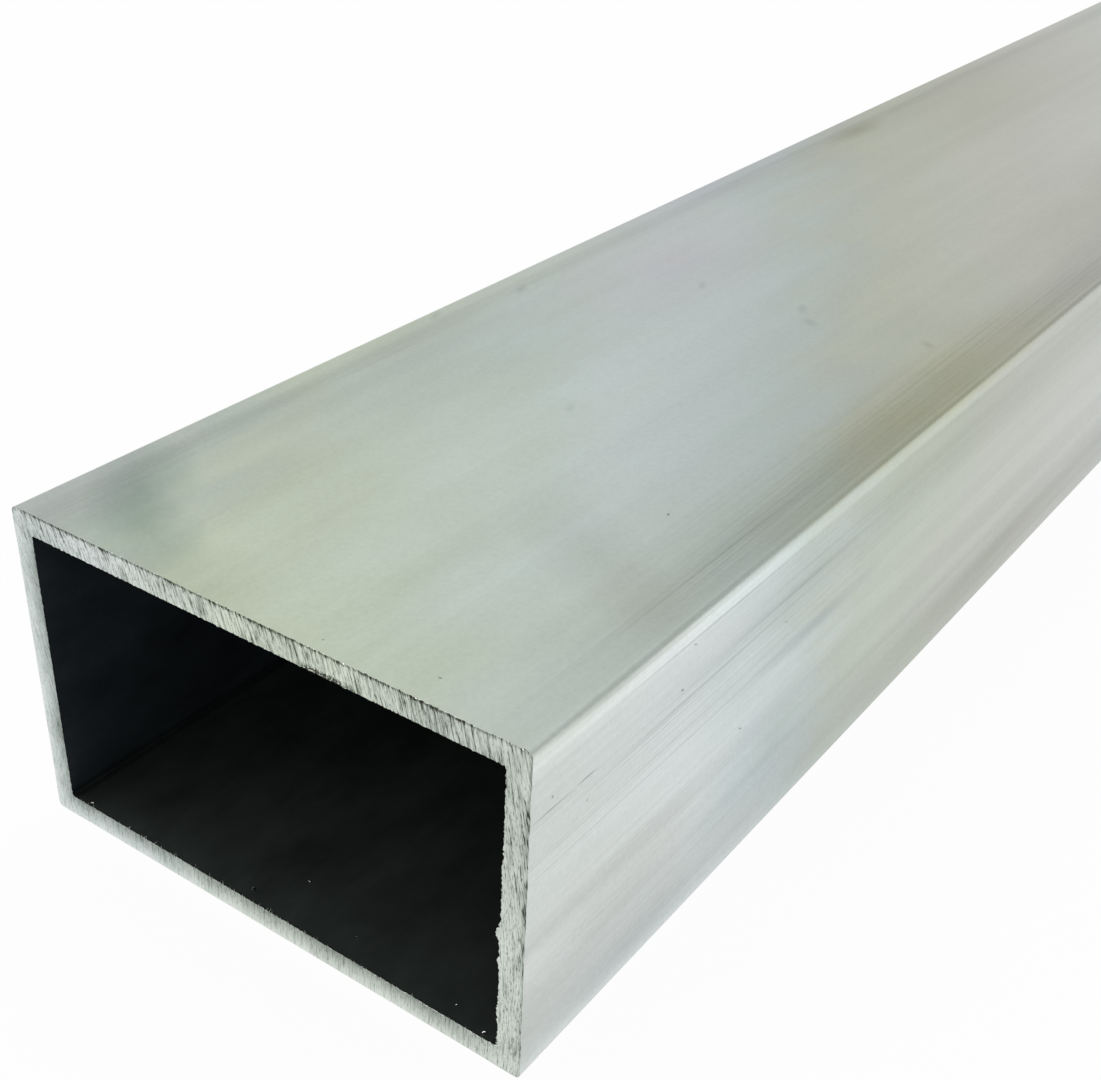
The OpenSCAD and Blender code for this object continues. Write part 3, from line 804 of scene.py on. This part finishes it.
def painted_shade_bore_aluminium():
    """Inside of the extrusion: bare aluminium painted nearly black as painted shade, streaked along the draw,
    with more painted shade in its corners and painted light that makes it paler deeper in from its mouths."""
    material, tree = new_material("dark bore aluminium")
    coordinates = add(tree, "ShaderNodeTexCoord").outputs
    facing = add(tree, "ShaderNodeSeparateXYZ", {0: coordinates["Normal"]}).outputs
    on_flat = add(tree, "ShaderNodeMath", {0: facing["Z"]}, operation="ABSOLUTE")
    spot = add(tree, "ShaderNodeVectorMath", {
        0: coordinates["Object"], 1: (0, 0, HEIGHT / 2)}, operation="SUBTRACT")
    off_middle = add(tree, "ShaderNodeVectorMath", {0: spot}, operation="ABSOLUTE")
    off_middle = add(tree, "ShaderNodeSeparateXYZ", {0: off_middle}).outputs
    # The near-black colours are painted shade on bare aluminium
    colour = add(tree, "ShaderNodeMix", {
        "Factor": on_flat, 6: linear("#464e54"), 7: linear("#505753")}, data_type="RGBA")
    streak_place = add(tree, "ShaderNodeMapping", {
        "Vector": spot, "Scale": (1 / (9 * MM), 1 / (5 * MM), 1 / (5 * MM))})
    streaks = add(tree, "ShaderNodeTexNoise", {
        "Vector": streak_place, "Scale": 1, "Detail": 5, "Roughness": 0.6})
    shade = add(tree, "ShaderNodeMapRange", {
        "Value": streaks, "From Min": 0.3, "From Max": 0.7, "To Min": 0.7, "To Max": 1.25})
    # Painted shade, darkest in the corners
    off_side = add(tree, "ShaderNodeMath", {0: WIDTH / 2 - WALL, 1: off_middle["Y"]}, operation="SUBTRACT")
    off_flat = add(tree, "ShaderNodeMath", {0: HEIGHT / 2 - WALL, 1: off_middle["Z"]}, operation="SUBTRACT")
    off_corner = add(tree, "ShaderNodeMath", {0: off_side, 1: off_flat}, operation="MAXIMUM")
    painted_corner_shade = add(tree, "ShaderNodeMapRange", {
        "Value": off_corner, "From Min": 0.25 * MM, "From Max": 0.8 * MM, "To Min": 0.5, "To Max": 1})
    shade = add(tree, "ShaderNodeMath", {0: shade, 1: painted_corner_shade}, operation="MULTIPLY")
    # Painted light: paler deeper in from the mouths
    paler = add(tree, "ShaderNodeMapRange", {
        "Value": off_middle["X"], "From Min": LENGTH / 2 - 5 * MM, "From Max": LENGTH / 2 - 70 * MM,
        "To Min": 1, "To Max": 2.5})
    shade = add(tree, "ShaderNodeMath", {0: shade, 1: paler}, operation="MULTIPLY")
    colour = add(tree, "ShaderNodeVectorMath", {0: colour.outputs[2], "Scale": shade}, operation="SCALE")
    metal = add(tree, "ShaderNodeBsdfPrincipled", {"Base Color": colour, "Metallic": 1, "Roughness": 0.6})
    add(tree, "ShaderNodeOutputMaterial", {"Surface": metal})
    return material


def white_floor():
    """Pale floor that shows white, also in the metal, and keeps a soft shadow."""
    material, tree = new_material("white floor")
    rays = add(tree, "ShaderNodeLightPath").outputs
    seen = add(tree, "ShaderNodeMath", {
        0: rays["Is Camera Ray"], 1: rays["Is Glossy Ray"]}, operation="MAXIMUM")
    seen = add(tree, "ShaderNodeMath", {0: seen, 1: rays["Is Transmission Ray"]}, operation="MAXIMUM")
    glow_share = add(tree, "ShaderNodeMath", {0: seen, 1: 0.95}, operation="MULTIPLY")
    paper = add(tree, "ShaderNodeBsdfDiffuse", {"Color": linear("#fbfbfa")})
    glow = add(tree, "ShaderNodeEmission", {"Color": (1, 1, 1, 1), "Strength": 1})
    floor = add(tree, "ShaderNodeMixShader", {0: glow_share, 1: paper, 2: glow})
    add(tree, "ShaderNodeOutputMaterial", {"Surface": floor})
    return material


def set_floor():
    """A wide level floor under the tube, which isn't part of it."""
    half = 20 * LENGTH
    below = -0.1 * MM
    mesh = bpy.data.meshes.new("floor")
    corners = [(-half, -half, below), (half, -half, below), (half, half, below), (-half, half, below)]
    mesh.from_pydata(corners, [], [(0, 1, 2, 3)])
    mesh.materials.append(white_floor())
    floor = bpy.data.objects.new("floor", mesh)
    bpy.context.scene.collection.objects.link(floor)


def set_light():
    """Soft studio light: a pale room, white at the horizon, with a dark card up on the right that keeps
    the tube's corner from glaring, and one wide lamp on the left."""
    world = bpy.data.worlds.new("pale room")
    world.use_nodes = True
    tree = world.node_tree
    tree.nodes.clear()
    direction = add(tree, "ShaderNodeTexCoord").outputs["Generated"]
    height = add(tree, "ShaderNodeSeparateXYZ", {0: direction})
    room = add(tree, "ShaderNodeValToRGB", {"Fac": height.outputs["Z"]}, stops=[
        (0.0, grey(1)), (0.16, linear("#e2e3e2")), (0.6, linear("#dfe0df")), (1.0, linear("#f4f4f4"))])
    card_direction = (0.655, -0.454, 0.604)
    to_card = add(tree, "ShaderNodeVectorMath", {0: direction, 1: card_direction}, operation="DOT_PRODUCT")
    card = add(tree, "ShaderNodeMapRange", {
        "Value": to_card, "From Min": 0.77, "From Max": 0.95, "To Min": 1, "To Max": 0.8},
        interpolation_type="SMOOTHSTEP")
    room = add(tree, "ShaderNodeVectorMath", {0: room, "Scale": card}, operation="SCALE")
    background = add(tree, "ShaderNodeBackground", {"Color": room, "Strength": 1})
    add(tree, "ShaderNodeOutputWorld", {"Surface": background})
    bpy.context.scene.world = world

    lamp = bpy.data.lights.new("left_softbox", "AREA")
    lamp.shape = "RECTANGLE"
    lamp.size = 1.6
    lamp.size_y = 1.0
    lamp.energy = 4.5
    softbox = bpy.data.objects.new("left_softbox", lamp)
    aim = Vector((tube_low.x, 0, HEIGHT))
    softbox.location = aim + Vector((-0.7, 1.0, 1.3))
    softbox.rotation_mode = "QUATERNION"
    softbox.rotation_quaternion = (aim - softbox.location).to_track_quat("-Z", "Y")
    bpy.context.scene.collection.objects.link(softbox)


def set_camera():
    """A camera at the photograph's place and angle, close to the near end."""
    lens = bpy.data.cameras.new("camera")
    lens.sensor_fit = "HORIZONTAL"
    lens.lens = lens.sensor_width * FOCAL_LENGTH / PHOTO_WIDTH
    lens.shift_y = AXIS_BELOW_MIDDLE / PHOTO_WIDTH
    lens.clip_start = 1 * MM
    camera = bpy.data.objects.new("camera", lens)
    camera.location = NEAR_END + CAMERA_FROM_NEAR_END
    level = math.cos(CAMERA_DIP)
    look = Vector((level * math.sin(CAMERA_HEADING), level * math.cos(CAMERA_HEADING), -math.sin(CAMERA_DIP)))
    camera.rotation_mode = "QUATERNION"
    camera.rotation_quaternion = look.to_track_quat("-Z", "Y") @ Quaternion((0, 0, 1), CAMERA_ROLL)
    bpy.context.scene.collection.objects.link(camera)
    bpy.context.scene.camera = camera


saw_cut = saw_cut_aluminium()
tube = made_piece(
    "drawn_tube",
    tube_tree(mill_finish_aluminium(), saw_cut, painted_shade_bore_aluminium()),
    TUBE_SIZES)
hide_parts("tube")
bright_burr = bright_burr_aluminium()
slivers = sliver_tree(bright_burr)
made_piece("outer_saw_burrs", slivers, OUTER_SLIVERS)
made_piece("inner_saw_burrs", slivers, INNER_SLIVERS)
swarf_height = WALL + SWARF_SIZES["Curl Thickness"]
swarf_spots = [(tube_low.x + along * MM, across * MM, swarf_height) for along, across in NEAR_SWARF]
swarf_spots += [(tube_high.x - along * MM, across * MM, swarf_height) for along, across in FAR_SWARF]
made_piece("swarf_curls", swarf_tree(bright_burr), SWARF_SIZES, swarf_spots)
set_floor()
set_light()
set_camera()
bpy.context.scene.view_settings.view_transform = "Standard"
